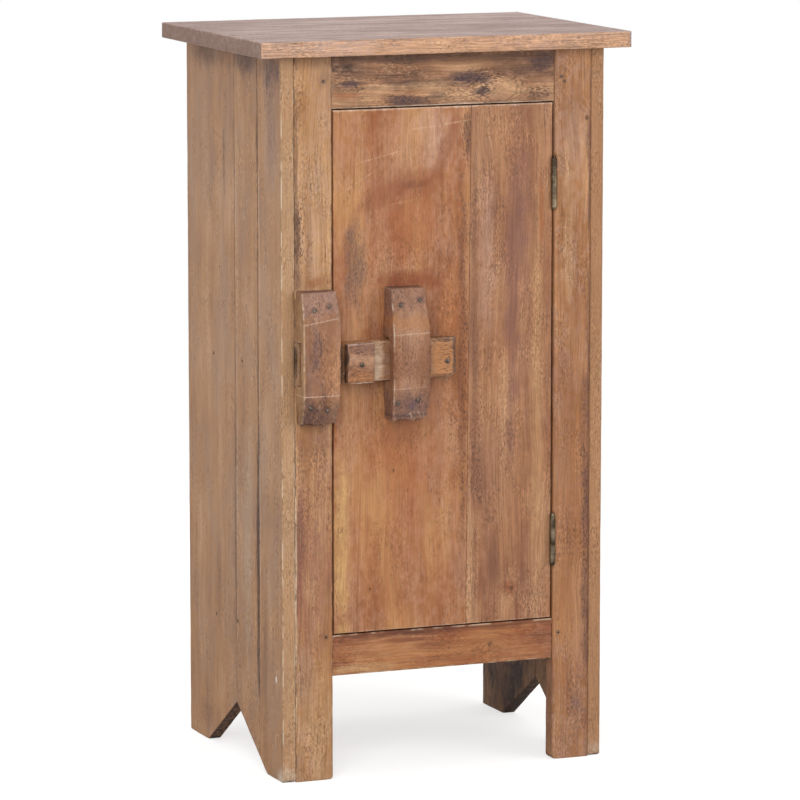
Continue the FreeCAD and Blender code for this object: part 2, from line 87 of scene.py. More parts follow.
def number(tree, operation, *values):
    """Node that works out a number."""
    return add(tree, "Math", dict(enumerate(values)), operation=operation)


def vector(tree, operation, *values):
    """Node that works out a vector, or a number from vectors."""
    return add(tree, "VectorMath", dict(enumerate(values)), operation=operation)


def scale_by(tree, value, factor):
    """Vector times a number."""
    return add(tree, "VectorMath", {0: value, "Scale": factor}, operation="SCALE")


def bare_tree(owner):
    """The node tree of a material or a world, emptied."""
    owner.use_nodes = True
    owner.node_tree.nodes.clear()
    return owner.node_tree


def srgb(code):
    """Linear colour of an sRGB hex value."""
    parts = [int(code[start:start + 2], 16) / 255 for start in (1, 3, 5)]
    return (*[part / 12.92 if part <= 0.04045 else ((part + 0.055) / 1.055) ** 2.4 for part in parts], 1.0)


# Teak: sizes of its marks in millimetres, along and across the grain

BROAD_BANDS = (330, 20)
NARROW_BANDS = (150, 6)
CLOUDS = (85, 42)
# Fibres, lines and pores are about 0.2 mm wide in teak; they are drawn wider, so that they show
FIBRES = (55, 1.5)
HAIRLINES = (48, 1.3)
PORES = (5, 1.6)
SPECKS = (3.6, 1.5)
SPECK_PATCHES = (60, 24)
FILM_PATCHES = (120, 40)
RAGGED = (9, 5)
WANDERING = (30, 12)
SWAY = (190, 80)
SWAY_WIDTH = 26
BORDER_SWAY = 1.5
THROUGH = 1e6
RINGS_PER_KNOT = 5
EDGE_BREAKS = (14, 9)
TONE_STOPS = (0.39, 0.5, 0.61)
KNOT = "#57381f"
OPEN_GRAIN = "#5e3d2b"
NAIL_STAIN = "#4b3a35"
DUSTY_SPECK = "#d6bca6"
PALE_ARRIS = ("#d8bfa2", 0.7)
GRIME = ("#4f3625", 0.8)
PINK_FILM = ("#a68a7c", 0.4)
GREY_FILM = ("#8f7268", 0.45)


def stretched_noise(tree, place, size, seed, detail):
    """Random marks of a length along the grain and a width across it, in millimetres."""
    length, width = size
    scaled = add(tree, "Mapping", {
        "Vector": place, "Location": (seed, -seed, 2.0 * seed), "Scale": (1 / width, 1 / width, 1 / length)})
    return add(tree, "TexNoise", {
        "Vector": scaled, "Scale": 1.0, "Detail": detail, "Roughness": 0.55}).outputs


def grain_layer(tree, place, size, seed, detail=2.0):
    """Soft random marks from 0 to 1."""
    return stretched_noise(tree, place, size, seed, detail)["Fac"]


def spot(tree, place, middle, reach, push=None, tilt=0.0):
    """Mask that falls from 1 at a place on the board to 0 at its reach, both across and along in millimetres;
    a push makes its border wander, and a tilt in degrees leans it from along the grain to across it."""
    (across, along), (width, length) = middle, reach
    centred = add(tree, "Mapping", {
        "Vector": place, "Location": (across, 0.0, along), "Rotation": (0.0, math.radians(tilt), 0.0),
        "Scale": (width, THROUGH, length)}, vector_type="TEXTURE")
    if push:
        centred = vector(tree, "MULTIPLY_ADD", push, (BORDER_SWAY, 0.0, BORDER_SWAY), centred)
    return add(tree, "TexGradient", {0: centred}, gradient_type="SPHERICAL").outputs["Fac"]


def window(tree, value, low, high, share=1.0, least=0.0, rise="SMOOTHSTEP"):
    """Rise smoothly from the least to a share as the value goes from low to high."""
    return add(tree, "MapRange", {
        "Value": value, "From Min": low, "From Max": high, "To Min": least, "To Max": share},
        interpolation_type=rise)


def slope(tree, value, low, high, share=1.0, least=0.0):
    """Rise evenly, in the same way."""
    return window(tree, value, low, high, share, least, "LINEAR")


def times(tree, first, second):
    """One value times another."""
    return number(tree, "MULTIPLY", first, second)


# Sockets of a Mix node: 0 takes the share, 2 and 3 numbers, 6 and 7 colours

def tint(tree, colour, share, tone):
    """Colour mixed towards an sRGB tone."""
    return add(tree, "Mix", {0: share, 6: colour, 7: srgb(tone)}, data_type="RGBA").outputs[2]


def shaded(tree, colour, value, darker, brighter):
    """Colour darkened and brightened by up to these shares, by a value about 0.5."""
    shade = slope(tree, value, 0.3, 0.7, 1 + brighter, least=1 - darker)
    return add(tree, "Mix", {0: 1.0, 6: colour, 7: shade}, data_type="RGBA",
               blend_type="MULTIPLY").outputs[2]


def stained_and_shaded(tree, colour, place, push, marks, full_at, mask):
    """Colour with marks whose borders wander, broken up by a mask."""
    for across, along, width, length, tone, strength, *tilt in marks:
        near = spot(tree, place, (across, along), (width, length), push, *tilt)
        colour = tint(tree, colour, times(tree, window(tree, near, 0.0, full_at, strength), mask), tone)
    return colour


def teak(name, across, along, tones, seed, marks=(), nails=(), knots=(), film=PINK_FILM, worn=PALE_ARRIS,
         ends=("#7a5640", 0.65), streaks=0.1, specks=0.4, pits=0.5, lines=0.4, grit=()):
    """Old teak, planed, rubbed and waxed: cloudy bands of brown and honey, fine fibres and dark lines,
    patches of specks and open pores, a dusty film, stains and painted shade, knots, darker sawn ends, bare or
    grimy arrises.

    Places and reaches are in millimetres, across the grain and then along it. A mark, solid or as grit, is a
    row of place, reach, tone, strength and perhaps tilt; a nail has a place and the reach of its stain; a
    knot has a place, a radius, and the strengths of its rings and of its core."""
    film_tone, film_share = film
    arris_tone, arris_share = worn
    end_tone, end_share = ends
    material = bpy.data.materials.new(name)
    tree = bare_tree(material)

    # Place on the board in millimetres: across the grain, through the board, along the grain
    depth = next(axis for axis in "XYZ" if axis not in (across, along))
    coordinates = add(tree, "TexCoord").outputs["Object"]
    scaled = scale_by(tree, coordinates, 1 / MM)
    split = add(tree, "SeparateXYZ", {0: scaled}).outputs
    place = add(tree, "CombineXYZ", {0: split[across], 1: split[depth], 2: split[along]})

    # The grain sways, and parts round knots, which have rings of their own
    bend = grain_layer(tree, place, SWAY, seed)
    line = number(tree, "MULTIPLY_ADD", bend, SWAY_WIDTH, split[across])
    wander = stretched_noise(tree, place, WANDERING, seed + 2.9, 4.0)["Color"]
    push = vector(tree, "SUBTRACT", wander, (0.5, 0.5, 0.5))
    nudge = scale_by(tree, push, 0.6)
    cores, rings = [], []
    for middle, radius, ring_share, core_share in knots:
        eye = spot(tree, place, middle, (4 * radius, 7 * radius))
        bent = spot(tree, place, middle, (5 * radius, 8 * radius), nudge)
        wave = times(tree, bent, RINGS_PER_KNOT * 2 * math.pi)
        wave = number(tree, "SINE", wave)
        fading = times(tree, window(tree, bent, 0.02, 0.3), window(tree, bent, 0.8, 0.45))
        rings.append(times(tree, window(tree, wave, 0.35, 0.98, ring_share), fading))
        aside = number(tree, "SUBTRACT", line, middle[0])
        parted = times(tree, aside, eye)
        line = number(tree, "MULTIPLY_ADD", parted, -0.7, line)
        cores.append(window(tree, spot(tree, place, middle, (radius, 1.4 * radius)), 0.1, 0.7, core_share))
    grain = add(tree, "CombineXYZ", {0: line, 1: split[depth], 2: split[along]})

    # Bands and clouds of colour
    broad = grain_layer(tree, grain, BROAD_BANDS, seed, 3.0)
    narrow = grain_layer(tree, grain, NARROW_BANDS, seed + 3.1)
    clouds = grain_layer(tree, place, CLOUDS, seed + 4.6, 3.0)
    bands = add(tree, "Mix", {0: 0.28, 2: broad, 3: narrow})
    bands = add(tree, "Mix", {0: 0.45, 2: bands, 3: clouds})
    ramp = add(tree, "ValToRGB", {0: bands})
    stops = ramp.color_ramp.elements
    for position, tone in zip(TONE_STOPS, tones):
        stop = stops.new(position)
        stop.color = srgb(tone)
    stops.remove(stops[0])
    stops.remove(stops[-1])
    colour = ramp.outputs["Color"]

    # Dusty film, stains and painted shade with wandering borders, iron stain round nails, knots
    patches = grain_layer(tree, grain, FILM_PATCHES, seed + 7.7, 4.0)
    rags = grain_layer(tree, place, RAGGED, seed + 1.3, 4.0)
    broken = add(tree, "Mix", {0: 0.45, 2: patches, 3: rags})
    colour = tint(tree, colour, window(tree, broken, 0.42, 0.62, film_share), film_tone)
    patchy = window(tree, broken, 0.38, 0.6, 1.0, 0.55)
    colour = stained_and_shaded(tree, colour, place, push, marks, 0.75, patchy)
    for middle, radius in nails:
        colour = tint(tree, colour, window(tree, spot(tree, place, middle, (radius, radius)), 0.0, 0.8, 0.6),
                      NAIL_STAIN)
    for core, ring in zip(cores, rings):
        colour = tint(tree, colour, ring, OPEN_GRAIN)
        colour = tint(tree, colour, core, KNOT)

    # Mottle, fibres and dark lines everywhere, specks and open pores in patches
    colour = shaded(tree, colour, rags, 0.08, 0.08)
    fibres = grain_layer(tree, grain, FIBRES, seed + 5.9, 3.0)
    colour = shaded(tree, colour, fibres, streaks, streaks)
    hairs = window(tree, grain_layer(tree, grain, HAIRLINES, seed + 3.7), 0.56, 0.74, lines)
    colour = tint(tree, colour, hairs, OPEN_GRAIN)
    where = window(tree, grain_layer(tree, grain, SPECK_PATCHES, seed + 8.8, 3.0), 0.42, 0.6, 1.0, 0.15)
    dots = grain_layer(tree, place, SPECKS, seed + 6.4, 3.0)
    speckled = add(tree, "Mix", {0: where, 2: 0.5, 3: dots})
    colour = shaded(tree, colour, speckled, 0.9 * specks, 0.7 * specks)
    colour = tint(tree, colour, window(tree, speckled, 0.58, 0.76, 0.35 * specks), DUSTY_SPECK)
    gritty = window(tree, dots, 0.49, 0.4)
    colour = stained_and_shaded(tree, colour, place, push, grit, 0.7, gritty)
    pitted = times(tree, window(tree, grain_layer(tree, grain, PORES, seed + 9.2), 0.58, 0.7, pits), where)
    colour = tint(tree, colour, pitted, OPEN_GRAIN)

    # Sawn ends, and arrises in broken stretches
    sawn = add(tree, "Attribute", attribute_name="end_grain").outputs["Fac"]
    dark_ends = times(tree, sawn, window(tree, rags, 0.3, 0.6, end_share, 0.5 * end_share))
    colour = tint(tree, colour, dark_ends, end_tone)
    arris = add(tree, "Attribute", attribute_name="arris").outputs["Fac"]
    breaks = window(tree, grain_layer(tree, place, EDGE_BREAKS, seed + 2.2, 3.0), 0.42, 0.6, arris_share)
    colour = tint(tree, colour, times(tree, arris, breaks), arris_tone)

    uneven = number(tree, "ADD", fibres, speckled)
    height = number(tree, "MULTIPLY_ADD", pitted, -1.0, uneven)
    relief = add(tree, "Bump", {"Strength": 0.6, "Distance": 0.9 * MM, "Height": height})
    sheen = slope(tree, rags, 0, 1, 0.74, least=0.48)
    wood = add(tree, "BsdfPrincipled", {
        "Base Color": colour, "Roughness": sheen, "Specular IOR Level": 0.35, "Normal": relief})
    add(tree, "OutputMaterial", {"Surface": wood})
    return material


# Worn boards

SAME_POINT = 0.01 * MM
BOARD_CHIPS, BOARD_HOLLOWS, BOARD_DIP = 26 * MM, 60 * MM, 0.25 * MM
BLOCK_CHIPS, BLOCK_HOLLOWS, BLOCK_DIP = 9 * MM, 22 * MM, 0.5 * MM


def new_tree(name, **sockets):
    """Geometry tree with named inputs and one output, and the outlets of the inputs."""
    tree = bpy.data.node_groups.new(name, "GeometryNodeTree")
    for label, kind in sockets.items():
        tree.interface.new_socket(label, in_out="INPUT", socket_type=f"NodeSocket{kind}")
    tree.interface.new_socket("Piece", in_out="OUTPUT", socket_type="NodeSocketGeometry")
    return tree, add(tree, "NodeGroupInput").outputs


def finish_tree(tree, geometry, wood):
    """Smooth shading, plain mesh and material, as every tree ends."""
    smooth = add(tree, "SetShadeSmooth", {"Geometry": geometry})
    real = add(tree, "RealizeInstances", {"Geometry": smooth})
    clad = add(tree, "SetMaterial", {"Geometry": real, "Material": wood})
    add(tree, "NodeGroupOutput", {0: clad})
    return tree


def board_tree():
    """Box whose points crowd towards its arrises, which are rounded more in some stretches than in others;
    the faces dip by up to a depth for each axis, and the attributes arris and end_grain tell rounded points
    and sawn ends."""
    tree, given = new_tree(
        "worn_board", Size="Vector", Middle="Vector", Columns="Int", Rows="Int", Layers="Int", Round="Float",
        Wear="Float", Dip="Vector", Grain="Vector", Seed="Vector", Wood="Material")
    grid = add(tree, "MeshCube", {
        "Size": (2, 2, 2), "Vertices X": given["Columns"], "Vertices Y": given["Rows"],
        "Vertices Z": given["Layers"]})
    even = add(tree, "InputPosition")
    turned = scale_by(tree, even, math.pi / 2)
    crowded = vector(tree, "SINE", turned)
    half = scale_by(tree, given["Size"], 0.5)
    flat = vector(tree, "MULTIPLY", crowded, half)

    random_place = vector(tree, "ADD", flat, given["Seed"])
    chips = add(tree, "TexNoise", {
        "Vector": random_place, "Scale": 1 / BOARD_CHIPS, "Detail": 3.0, "Roughness": 0.6}).outputs["Fac"]
    worn = slope(tree, chips, 0.4, 0.75)
    radius = number(tree, "MULTIPLY_ADD", worn, given["Wear"], given["Round"])
    inner = vector(tree, "SUBTRACT", half, radius)
    outer = scale_by(tree, inner, -1.0)
    capped = vector(tree, "MINIMUM", flat, inner)
    core = vector(tree, "MAXIMUM", capped, outer)
    outward = vector(tree, "SUBTRACT", flat, core)
    facing = vector(tree, "NORMALIZE", outward)
    hollows = add(tree, "TexNoise", {
        "Vector": random_place, "Scale": 1 / BOARD_HOLLOWS, "Detail": 1.0}).outputs["Fac"]
    bare = vector(tree, "ABSOLUTE", facing)
    dips = vector(tree, "DOT_PRODUCT", bare, given["Dip"])
    sunk = times(tree, hollows, dips.outputs["Value"])
    reach = number(tree, "SUBTRACT", radius, sunk)
    skin = scale_by(tree, facing, reach)
    rounded = vector(tree, "ADD", core, skin)
    placed = vector(tree, "ADD", rounded, given["Middle"])

    parts = add(tree, "SeparateXYZ", {0: bare}).outputs
    larger = number(tree, "MAXIMUM", parts[0], parts[1])
    largest = number(tree, "MAXIMUM", larger, parts[2])
    arris = slope(tree, largest, 1.0, 0.75)
    marked = add(tree, "StoreNamedAttribute", {"Geometry": grid, "Name": "arris", "Value": arris})
    sawn = vector(tree, "DOT_PRODUCT", bare, given["Grain"])
    end_grain = slope(tree, sawn.outputs["Value"], 0.6, 0.95)
    marked = add(tree, "StoreNamedAttribute", {"Geometry": marked, "Name": "end_grain", "Value": end_grain})
    moved = add(tree, "SetPosition", {"Geometry": marked, "Position": placed})
    return finish_tree(tree, moved, given["Wood"])


def worn_block_tree():
    """Finely meshed block whose outer arrises are found from their angle and chipped back unevenly; the
    attribute arris is strongest on sharp arrises that face left and not up, where the wood is rubbed bare
    and where painted highlight stands for the light from the left."""
    tree, given = new_tree("worn_block", Block="Geometry", Chip="Float", Dip="Float", Wood="Material")
    angle = add(tree, "InputMeshEdgeAngle").outputs["Signed Angle"]
    spread = add(tree, "BlurAttribute", {"Value": angle, "Iterations": 2})
    arris = slope(tree, spread, 0.03, 0.2)
    normal = add(tree, "InputNormal")
    facing = add(tree, "SeparateXYZ", {0: normal}).outputs
    # Only arrises facing left and not up get it: wear together with painted highlight from the light on the
    # left
    leftward = slope(tree, facing["X"], 0.16, -0.12, least=0.04)
    downward = slope(tree, facing["Z"], 0.6, 0.3, least=0.3)
    reached = times(tree, leftward, downward)
    crest = slope(tree, spread, 0.1, 0.34)
    rubbed_and_lit = times(tree, crest, reached)
    marked = add(tree, "StoreNamedAttribute", {
        "Geometry": given["Block"], "Name": "arris", "Value": rubbed_and_lit})
    place = add(tree, "InputPosition")
    chips = add(tree, "TexNoise", {
        "Vector": place, "Scale": 1 / BLOCK_CHIPS, "Detail": 3.0, "Roughness": 0.6}).outputs["Fac"]
    broken = slope(tree, chips, 0.45, 0.75, given["Chip"])
    chipped = times(tree, broken, arris)
    hollows = add(tree, "TexNoise", {
        "Vector": place, "Scale": 1 / BLOCK_HOLLOWS, "Detail": 2.0}).outputs["Fac"]
    depth = number(tree, "MULTIPLY_ADD", hollows, given["Dip"], chipped)
    inward = times(tree, depth, -1.0)
    offset = scale_by(tree, normal, inward)
    moved = add(tree, "SetPosition", {"Geometry": marked, "Offset": offset})
    return finish_tree(tree, moved, given["Wood"])


def new_piece(name, data=None):
    """New object in the scene, with this data or an empty mesh."""
    piece = bpy.data.objects.new(name, data or bpy.data.meshes.new(name))
    bpy.context.scene.collection.objects.link(piece)
    return piece


def piece_of(name, form):
    """New piece with the faces of a form, which is freed."""
    piece = new_piece(name)
    form.to_mesh(piece.data)
    form.free()
    return piece


def run_tree(piece, tree, **values):
    """Give a piece the tree with these values, and keep the result as plain mesh."""
    modifier = piece.modifiers.new(tree.name, "NODES")
    modifier.node_group = tree
    for socket in tree.interface.items_tree:
        if socket.in_out == "INPUT" and socket.name in values:
            modifier[socket.identifier] = values[socket.name]
    return settled(piece)


def settled(piece):
    """The piece with the result of its modifiers as plain mesh."""
    depsgraph = bpy.context.evaluated_depsgraph_get()
    grown = piece.evaluated_get(depsgraph)
    mesh = bpy.data.meshes.new_from_object(grown, preserve_all_data_layers=True, depsgraph=depsgraph)
    piece.modifiers.clear()
    piece.data = mesh
    return piece


def body_of(node):
    return frame["nodes"][node]["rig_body"]


def stand_for(piece, node):
    """The piece takes a solid's place on its body, with its material slot."""
    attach(piece, body_of(node))
    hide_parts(node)
    return piece


WORN_BOARD = board_tree()
WORN_BLOCK = worn_block_tree()
BOARD_SPACING = (9, 5, 2.6)
SEED_STEP = 0.37


def counts_for(size):
    """How many points a board gets along each side: the longer the side, the wider apart."""
    ranked = sorted(range(3), key=lambda axis: -size[axis])
    return {axis: max(6, round(size[axis] / (BOARD_SPACING[rank] * MM))) for rank, axis in enumerate(ranked)}


def move_points(piece, reshape):
    """Let a function move the points of a piece's mesh, given as rows of three coordinates."""
    points = np.empty((len(piece.data.vertices), 3))
    piece.data.vertices.foreach_get("co", points.ravel())
    reshape(points)
    piece.data.vertices.foreach_set("co", points.ravel())
    piece.data.update()


def round_off(points, axes, corner, inward, radius):
    """Pull the points near a square corner, seen along the third axis, back to a rounded one."""
    middle = np.array(corner) + radius * np.array(inward)
    offset = points[:, axes] - middle
    reach = np.linalg.norm(offset, axis=1)
    outside = (offset * np.array(inward) < 0).all(axis=1) & (reach > radius)
    points[np.ix_(outside, axes)] = middle + offset[outside] * (radius / reach[outside])[:, None]


BARREL_ROOM, PLATE_ROOM = 0.4 * MM, 0.1 * MM
BARREL_SIDES = 48


def cut_away(piece, form):
    """Take a closed form away from a piece."""
    cutter = piece_of("cutter", form)
    modifier = piece.modifiers.new("cut", "BOOLEAN")
    modifier.operation, modifier.solver, modifier.object = "DIFFERENCE", "EXACT", cutter
    settled(piece)
    bpy.data.objects.remove(cutter)


def mend(piece, wood):
    """After cuts: join points that nearly meet, close what that opens, and give every face the wood."""
    form = bmesh.new()
    form.from_mesh(piece.data)
    bmesh.ops.triangulate(form, faces=form.faces)
    bmesh.ops.remove_doubles(form, verts=form.verts, dist=2 * SAME_POINT)
    bmesh.ops.dissolve_degenerate(form, dist=2 * SAME_POINT, edges=form.edges)
    bmesh.ops.holes_fill(form, edges=[edge for edge in form.edges if edge.is_boundary])
    for face in form.faces:
        face.material_index = 0
    form.to_mesh(piece.data)
    form.free()
    piece.data.materials.clear()
    piece.data.materials.append(wood)


def let_in_hinges(piece, leaf, wood):
    """Cut room for the plate and the barrel of both hinges into the edge of a board."""
    for place in ("upper", "lower"):
        points = corner_points(f"{place}_hinge_{leaf}_leaf")
        pin_low, pin_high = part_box(f"{place}_hinge_pin")
        axis = (pin_low + pin_high) / 2
        from_axis = np.hypot(points[:, 0] - axis.x, points[:, 1] - axis.y)
        radius = from_axis[points[:, 1] < axis.y].max() + BARREL_ROOM
        plate = points[points[:, 1] > axis.y + radius]
        near, far = sorted((axis.x, max(plate[:, 0], key=lambda x: abs(x - axis.x))))
        low = Vector((near, axis.y, plate[:, 2].min() - PLATE_ROOM))
        high = Vector((far, plate[:, 1].max() + PLATE_ROOM, plate[:, 2].max() + PLATE_ROOM))
        form = bmesh.new()
        sized = Matrix.Diagonal((*(high - low), 1))
        bmesh.ops.create_cube(form, matrix=Matrix.Translation((low + high) / 2) @ sized)
        cut_away(piece, form)
        form = bmesh.new()
        bmesh.ops.create_cone(form, cap_ends=True, segments=BARREL_SIDES, radius1=radius, radius2=radius,
                              depth=pin_high.z - pin_low.z + 2 * BARREL_ROOM, matrix=Matrix.Translation(axis))
        cut_away(piece, form)
    mend(piece, wood)


def board(node, wood, box=None, joints="", round_edge=1.1, wear=1.3, reshape=None, hinge_leaf=None):
    """Worn board in the box of its solid; its faces stay flat along the axes of its joints, where they meet
    the next board."""
    low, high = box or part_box(node)
    size = Vector(high) - Vector(low)
    dip = Vector(0 if axis in joints else BOARD_DIP for axis in "XYZ")
    counts = counts_for(size)
    grain = Vector(size[axis] == max(size) for axis in range(3))
    seed = SEED_STEP * len(bpy.data.objects)
    piece = run_tree(
        new_piece(f"{node}_wood"), WORN_BOARD, Size=size, Middle=(Vector(low) + Vector(high)) / 2,
        Columns=counts[0], Rows=counts[1], Layers=counts[2], Round=round_edge * MM, Wear=wear * MM,
        Dip=dip, Grain=grain, Seed=(seed, seed, seed), Wood=wood)
    if reshape:
        move_points(piece, reshape)
    if hinge_leaf:
        let_in_hinges(piece, hinge_leaf, wood)
    return stand_for(piece, node)


def worn_copy(node, wood, voxel=1.1, chip=1.6, reshape=None):
    """The solid itself, finely meshed again, with chipped arrises."""
    solid = bmesh.new()
    solid.from_mesh(frame["nodes"][node].data)
    bmesh.ops.remove_doubles(solid, verts=solid.verts, dist=SAME_POINT)
    piece = piece_of(f"{node}_wood", solid)
    fine = piece.modifiers.new("fine", "REMESH")
    fine.mode = "VOXEL"
    fine.voxel_size = voxel * MM
    soft = piece.modifiers.new("soft", "SMOOTH")
    soft.iterations = 2
    run_tree(piece, WORN_BLOCK, Chip=chip * MM, Dip=BLOCK_DIP, Wood=wood)
    if reshape:
        move_points(piece, reshape)
    return stand_for(piece, node)


def corner_points(node):
    return np.array([vertex.co for vertex in frame["nodes"][node].data.vertices])


# Nails and screws

SCREW_THICKNESS, SCREW_SUNK, SLOT_WIDTH = 0.7 * MM, 0.6 * MM, 0.6 * MM


def head_tree():
    """Worn heads, dished like flattened beads, one on each point and square to the wood there."""
    tree, given = new_tree("nail_heads", Places="Geometry", Radius="Float", Metal="Material")
    bead = add(tree, "MeshUVSphere", {
        "Segments": 14, "Rings": 8, "Radius": given["Radius"]}).outputs["Mesh"]
    squat = add(tree, "Transform", {"Geometry": bead, "Scale": (1.0, 1.0, 0.36)})
    facing = add(tree, "InputNamedAttribute", {"Name": "facing"}, data_type="FLOAT_VECTOR")
    turned = add(tree, "AlignRotationToVector", {"Vector": facing}, axis="Z")
    sizes = add(tree, "RandomValue", {2: 0.85, 3: 1.15, "Seed": 4}, data_type="FLOAT").outputs[1]
    heads = add(tree, "InstanceOnPoints", {
        "Points": given["Places"], "Instance": squat, "Rotation": turned, "Scale": sizes})
    return finish_tree(tree, heads, given["Metal"])


def screw_tree():
    """Countersunk heads, each of two half discs with the slot between them."""
    tree, given = new_tree("screw_heads", Places="Geometry", Radius="Float", Metal="Material")
    arc = add(tree, "CurveArc", {"Resolution": 14, "Radius": given["Radius"], "Sweep Angle": math.pi})
    loop = add(tree, "SetSplineCyclic", {"Geometry": arc, "Cyclic": True})
    half = add(tree, "FillCurve", {"Curve": loop}, mode="NGONS")
    raised = add(tree, "ExtrudeMesh", {"Mesh": half, "Offset Scale": SCREW_THICKNESS})
    under = add(tree, "FlipFaces", {"Mesh": half})
    shell = add(tree, "JoinGeometry", {0: [raised, under]})
    closed = add(tree, "MergeByDistance", {"Geometry": shell, "Distance": SAME_POINT})
    aside = add(tree, "Transform", {"Geometry": closed, "Translation": (0, SLOT_WIDTH / 2, -SCREW_SUNK)})
    other = add(tree, "Transform", {"Geometry": aside, "Rotation": (0, 0, math.pi)})
    both = add(tree, "JoinGeometry", {0: [aside, other]})
    facing = add(tree, "InputNamedAttribute", {"Name": "facing"}, data_type="FLOAT_VECTOR")
    square = add(tree, "AlignRotationToVector", {"Vector": facing}, axis="Z")
    spin = add(tree, "RandomValue", {2: 0.0, 3: math.pi, "Seed": 9}, data_type="FLOAT").outputs[1]
    slot = add(tree, "AxisAngleToRotation", {"Axis": (0, 0, 1), "Angle": spin})
    turned = add(tree, "RotateRotation", {0: square, 1: slot}, rotation_space="LOCAL")
    heads = add(tree, "InstanceOnPoints", {"Points": given["Places"], "Instance": both, "Rotation": turned})
    return finish_tree(tree, heads, given["Metal"])


def metal(name, dark, light, grain, roughness):
    """Old metal, dark in some spots and rubbed lighter in others; the grain is their size in millimetres."""
    material = bpy.data.materials.new(name)
    tree = bare_tree(material)
    coordinates = add(tree, "TexCoord").outputs["Object"]
    tarnish = add(tree, "TexNoise", {"Vector": coordinates, "Scale": 1 / (grain * MM), "Detail": 3.0})
    ramp = add(tree, "ValToRGB", {0: tarnish.outputs["Fac"]})
    for stop, (position, tone) in zip(ramp.color_ramp.elements, ((0.38, dark), (0.68, light))):
        stop.position, stop.color = position, srgb(tone)
    skin = add(tree, "BsdfPrincipled", {"Base Color": ramp, "Metallic": 1.0, "Roughness": roughness})
    add(tree, "OutputMaterial", {"Surface": skin})
    return material


NAIL_HEADS = head_tree()
SCREW_HEADS = screw_tree()
DARK_IRON = metal("rusted_iron", "#54473f", "#8a7d74", 2.5, 0.7)
DARK_BRASS = metal("tarnished_brass", "#453a2f", "#a09078", 16.0, 0.4)


def fasten(name, node, places, look, tree=NAIL_HEADS, radius=2.3, metal_skin=DARK_IRON):
    """Heads where lines of sight along a look meet a solid; places are the other two coordinates in order."""
    source = frame["nodes"][node]
    shape = BVHTree.FromPolygons([vertex.co for vertex in source.data.vertices],
                                 [face.vertices for face in source.data.polygons])
    axis = max(range(3), key=lambda index: abs(look[index]))
    points, facings = [], []
    for place in places:
        start = [part * MM for part in place]
        start.insert(axis, -look[axis])
        point, facing, _, _ = shape.ray_cast(start, look)
        points.append(point)
        facings.append(facing)
    mesh = bpy.data.meshes.new(name)
    mesh.from_pydata(points, [], [])
    mesh.attributes.new("facing", "FLOAT_VECTOR", "POINT").data.foreach_set("vector", np.ravel(facings))
    piece = run_tree(new_piece(name, mesh), tree, Radius=radius * MM, Metal=metal_skin)
    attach(piece, body_of(node))
    return piece


# Pieces: tones run from dark to light

TOP_TONES = ("#947669", "#b29489", "#c8ada3")
SIDE_TONES = ("#ab7d5a", "#bd8d64", "#ca9e7a")
HONEY_TONES = ("#a17043", "#b5875c", "#c99e74")
TAN_TONES = ("#946037", "#a8744a", "#bd8c60")
DOOR_TONES = ("#91562f", "#a66d44", "#b88455")
PINK_TONES = ("#8c5c3f", "#a3714e", "#b88a64")
RAIL_TONES = ("#553a2f", "#94694a", "#c69a72")
FOOT_RAIL_TONES = ("#7a4026", "#955934", "#b07648")
LATCH_TONES = ("#78503a", "#956749", "#ac8062")
INNER_TONES = ("#94704f", "#a78361", "#b99877")


def ringed(places, radius=4.5):
    """Places of nails, each with the reach of the dark ring that iron leaves in the wood."""
    return [(place, radius) for place in places]


def stroke(first, last, width, tone, strength, count=1):
    """Marks that overlap from one place to another, each as wide as given on both sides of the line."""
    start, run = Vector(first), (Vector(last) - Vector(first)) / count
    tilt = math.degrees(math.atan2(run.x, run.y))
    return [(*(start + (step + 0.5) * run), width, 0.8 * run.length, tone, strength, tilt)
            for step in range(count)]


def turned_round(places):
    return [(second, first) for first, second in places]


TOP_CORNER, SIDE_CORNER, STILE_CORNER, GUIDE_CORNER = 11 * MM, 6 * MM, 5 * MM, 13 * MM


def table_top():
    """Three boards with their grain left to right, greyer than the rest; honey along the front edge."""
    low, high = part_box("top_front_board")
    joints = [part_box(f"top_{name}_board")[1].y / MM for name in ("front", "middle")]
    shared = [(joint, 0, 3, 900, "#77594e", 0.75) for joint in joints]

    def broken_corner(points):
        round_off(points, [0, 1], (high.x, low.y), (-1, 1), TOP_CORNER)
    for seed, name in enumerate(("front", "middle", "rear"), start=1):
        front = name == "front"
        edge = [(low.y / MM, 0, 4, 900, "#c29573", 0.95)] if front else []
        wood = teak(
            f"greyed_teak_top_{name}", "Y", "X", TOP_TONES, 11.3 * seed, marks=shared + edge,
            film=("#a38780", 0.5), streaks=0.34, lines=0.5, worn=("#d0b5a2", 0.35), ends=("#896b5c", 0.9))
        board(f"top_{name}_board", wood, joints="Y", round_edge=1.3, wear=0.7,
              reshape=broken_corner if front else None)


LOWER_END = 100 * MM


def lower_edge(node):
    """Heights of a side board's lower end from front to back."""
    points = corner_points(node)
    low = points[points[:, 2] < LOWER_END]
    depths = np.unique(low[:, 1].round(5))
    return depths, [low[abs(low[:, 1] - depth) < 2 * SAME_POINT][:, 2].min() for depth in depths]


# How dirty the two joints of a side are, the front one first
JOINT_DIRT = (1.0, 0.45)
SIDE_NAILS = {"middle": [(-11.8, 418), (5.2, 144)], "rear": [(74.2, 415), (69.7, 140)]}


